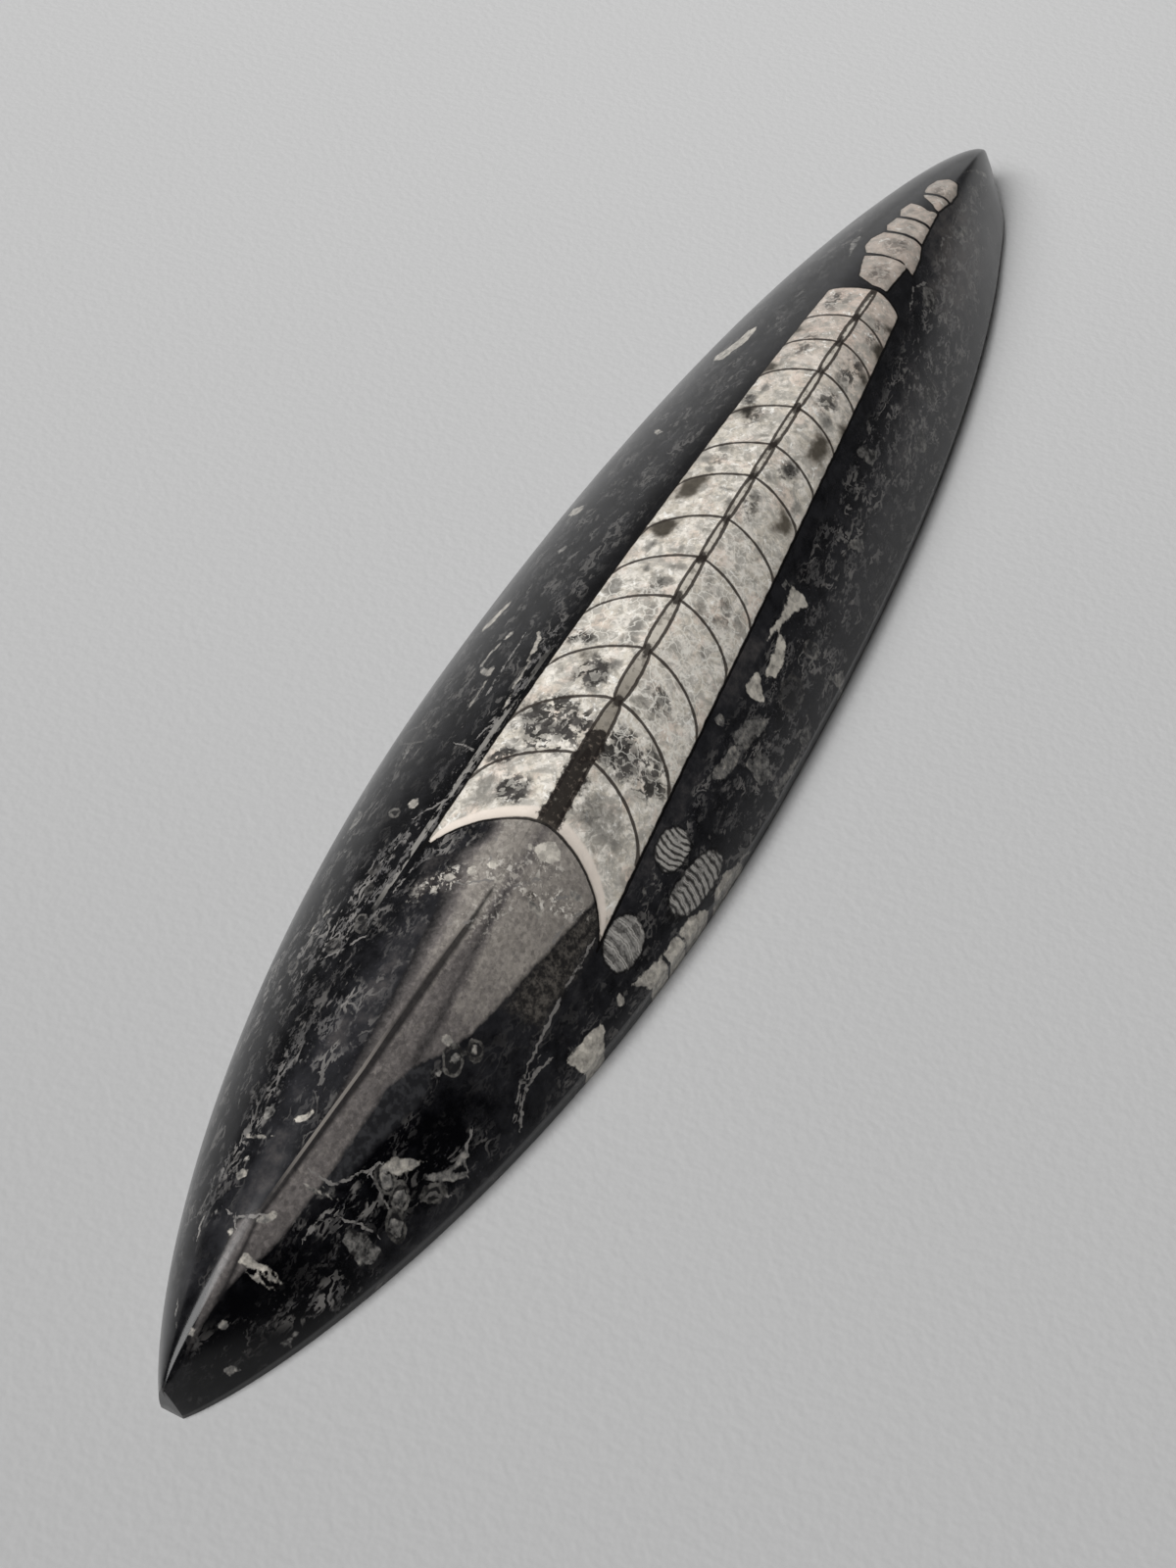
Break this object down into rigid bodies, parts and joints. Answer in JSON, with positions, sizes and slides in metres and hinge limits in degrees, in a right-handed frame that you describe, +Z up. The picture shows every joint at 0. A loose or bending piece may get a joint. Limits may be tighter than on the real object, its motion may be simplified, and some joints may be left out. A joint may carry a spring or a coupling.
{
  "type": "orthoceras fossil",
  "caption": "Boat-shaped piece of polished black limestone with a straight chambered orthoceras shell ground flush in its domed top; lies on a flat back.",
  "frame": {"origin": "middle of the flat back, on the surface that the stone lies on", "axes": "+X along the length, towards the thin end of the fossil shell; +Z up out of the polished dome; the fossil and the crest lie a little to the -Y side"},
  "size_m": [0.23, 0.0458, 0.0214],
  "materials": {
    "fossil_limestone": "polished black limestone with a cream calcite shell section; the back is sawn and matt"
  },
  "bodies": {
    "root": {"orthoceras_stone": "fossil_limestone"}
  },
  "joints": []
}
